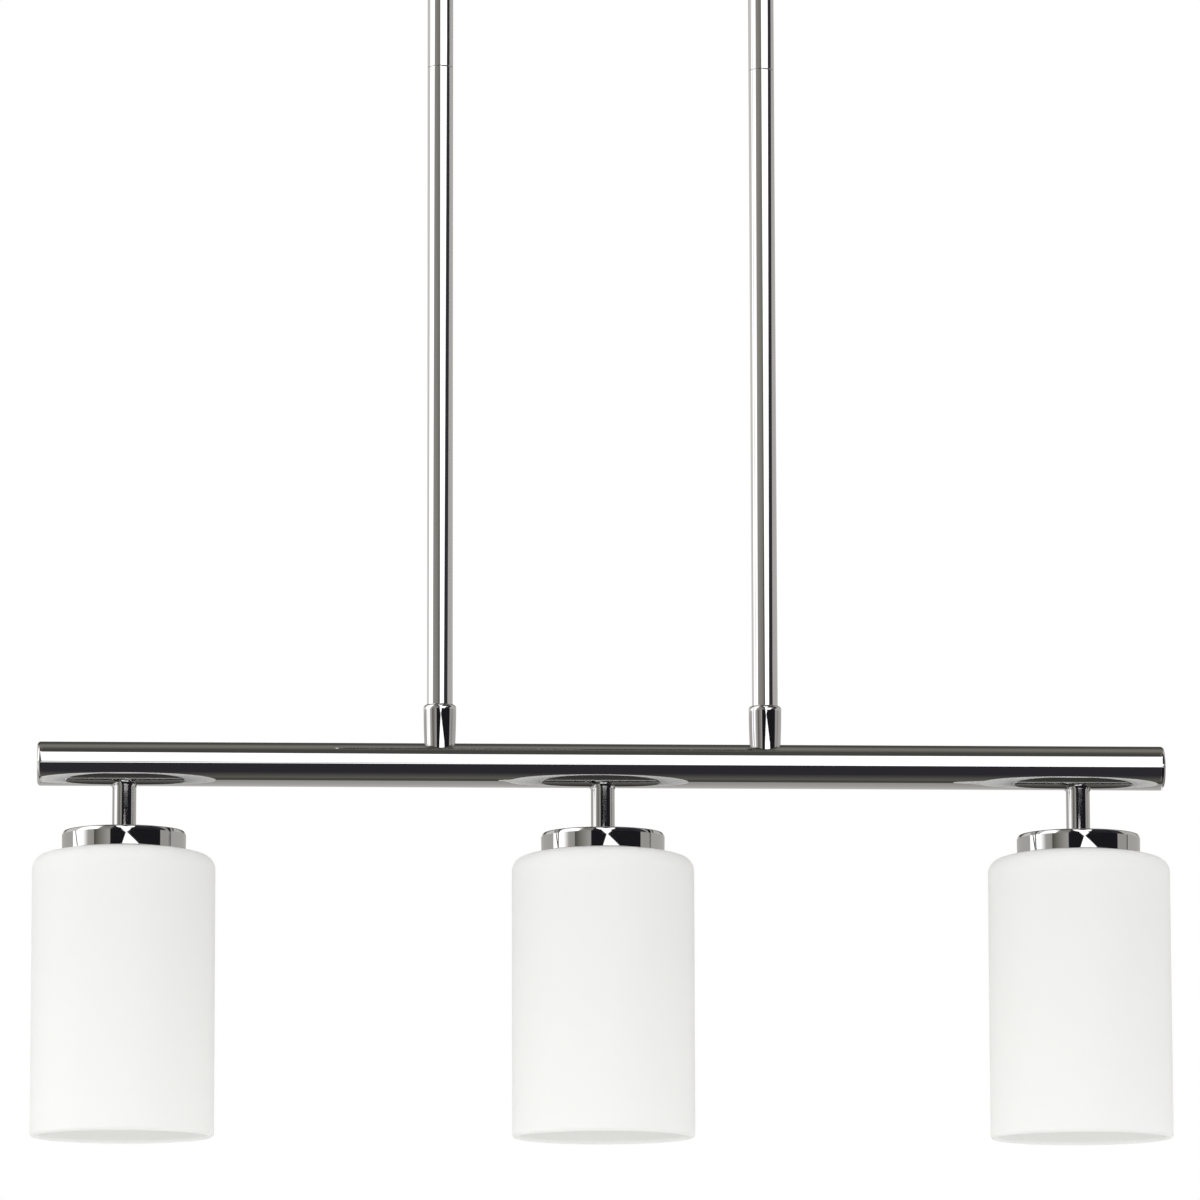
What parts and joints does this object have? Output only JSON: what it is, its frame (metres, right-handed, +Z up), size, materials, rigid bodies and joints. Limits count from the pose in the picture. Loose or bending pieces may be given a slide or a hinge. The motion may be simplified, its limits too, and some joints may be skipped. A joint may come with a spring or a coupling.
{
  "type": "linear island pendant light",
  "caption": "Linear pendant: a chromed bar on two ceiling rods carries opal glass cylinder shades, each clamped in a pressed cup on a lampholder.",
  "frame": {"origin": "centre of the ceiling strap's top face, on the ceiling", "axes": "+Z up to the ceiling, +X along the bar, -Y towards the viewer of the picture"},
  "size_m": [0.774, 0.124, 0.9393],
  "materials": {
    "chrome": "polished",
    "opal_glass": "satin opal",
    "frosted_glass": "frosted",
    "brass": "plain",
    "base_metal": "plain",
    "plated_steel": "zinc plated",
    "holder_body": "black phenolic",
    "ring_metal": "white",
    "soft_washer": "matte",
    "wire_cover": "extruded",
    "connector": "moulded",
    "splice": "tinned"
  },
  "bodies": {
    "ceiling_mount": {"canopy": "chrome", "ceiling_strap": "plated_steel", "canopy_studs": "plated_steel", "stud_nuts": "plated_steel", "cap_nuts": "chrome", "ground_screw": "brass", "canopy_leads": "wire_cover", "wire_connectors": "connector", "swivel_cup_left": "plated_steel", "swivel_cup_right": "plated_steel", "swivel_ring_left": "chrome", "swivel_ring_right": "chrome"},
    "hanging_frame": {"main_bar": "chrome", "lamp_leads": "wire_cover", "supply_leads": "wire_cover", "wire_splices": "splice", "bar_end_cap_left": "chrome", "swivel_ball_left": "chrome", "upper_rod_left": "chrome", "lower_rod_left": "chrome", "rod_collar_left": "chrome", "bar_end_cap_right": "chrome", "swivel_ball_right": "chrome", "upper_rod_right": "chrome", "lower_rod_right": "chrome", "rod_collar_right": "chrome", "rod_nipples": "plated_steel", "bar_nipples": "plated_steel", "bar_nuts": "plated_steel", "saddle_washers": "plated_steel", "head_nipples": "plated_steel", "centre_contacts": "brass", "shade_washers": "soft_washer", "head_stem_left": "chrome", "shade_cup_left": "chrome", "lampholder_left": "holder_body", "screw_shell_left": "brass", "glass_shade_left": "opal_glass", "shade_ring_left": "ring_metal", "head_stem_middle": "chrome", "shade_cup_middle": "chrome", "lampholder_middle": "holder_body", "screw_shell_middle": "brass", "glass_shade_middle": "opal_glass", "shade_ring_middle": "ring_metal", "head_stem_right": "chrome", "shade_cup_right": "chrome", "lampholder_right": "holder_body", "screw_shell_right": "brass", "glass_shade_right": "opal_glass", "shade_ring_right": "ring_metal"},
    "bulb_left": {"bulb_glass_left": "frosted_glass", "bulb_base_left": "base_metal"},
    "bulb_middle": {"bulb_glass_middle": "frosted_glass", "bulb_base_middle": "base_metal"},
    "bulb_right": {"bulb_glass_right": "frosted_glass", "bulb_base_right": "base_metal"}
  },
  "joints": [
    {"name": "pendant_swing", "type": "hinge", "parent": "ceiling_mount", "child": "hanging_frame", "pos_m": [0, 0, -0.0285], "axis": [1, 0, 0], "range_deg": [-35, 35]},
    {"name": "bulb_turn_left", "type": "hinge", "parent": "hanging_frame", "child": "bulb_left", "pos_m": [-0.325, 0, -0.8], "axis": [0, 0, -1], "range_deg": [0, 1800]},
    {"name": "bulb_turn_middle", "type": "hinge", "parent": "hanging_frame", "child": "bulb_middle", "pos_m": [0, 0, -0.8], "axis": [0, 0, -1], "range_deg": [0, 1800]},
    {"name": "bulb_turn_right", "type": "hinge", "parent": "hanging_frame", "child": "bulb_right", "pos_m": [0.325, 0, -0.8], "axis": [0, 0, -1], "range_deg": [0, 1800]}
  ]
}
